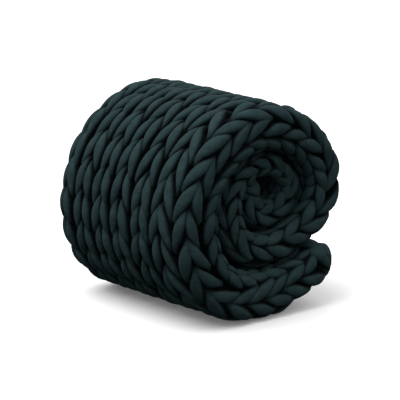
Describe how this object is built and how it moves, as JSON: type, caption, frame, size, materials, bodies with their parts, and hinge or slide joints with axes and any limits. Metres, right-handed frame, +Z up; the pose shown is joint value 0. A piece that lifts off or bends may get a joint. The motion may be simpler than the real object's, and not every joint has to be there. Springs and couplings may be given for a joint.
{
  "type": "weighted blanket",
  "caption": "Chunky hand-knit weighted blanket of thick dark green yarn, folded in half lengthwise and rolled up, with the loose end lying on the floor.",
  "frame": {"origin": "middle of the roll's outline, on the floor it lies on", "axes": "+X along the roll's axis towards the end that shows the folded edge, +Y towards the loose end, +Z up"},
  "size_m": [0.4152, 0.4188, 0.3979],
  "materials": {
    "yarn": "matte"
  },
  "bodies": {
    "root": {"blanket_roll": "yarn"}
  },
  "joints": []
}
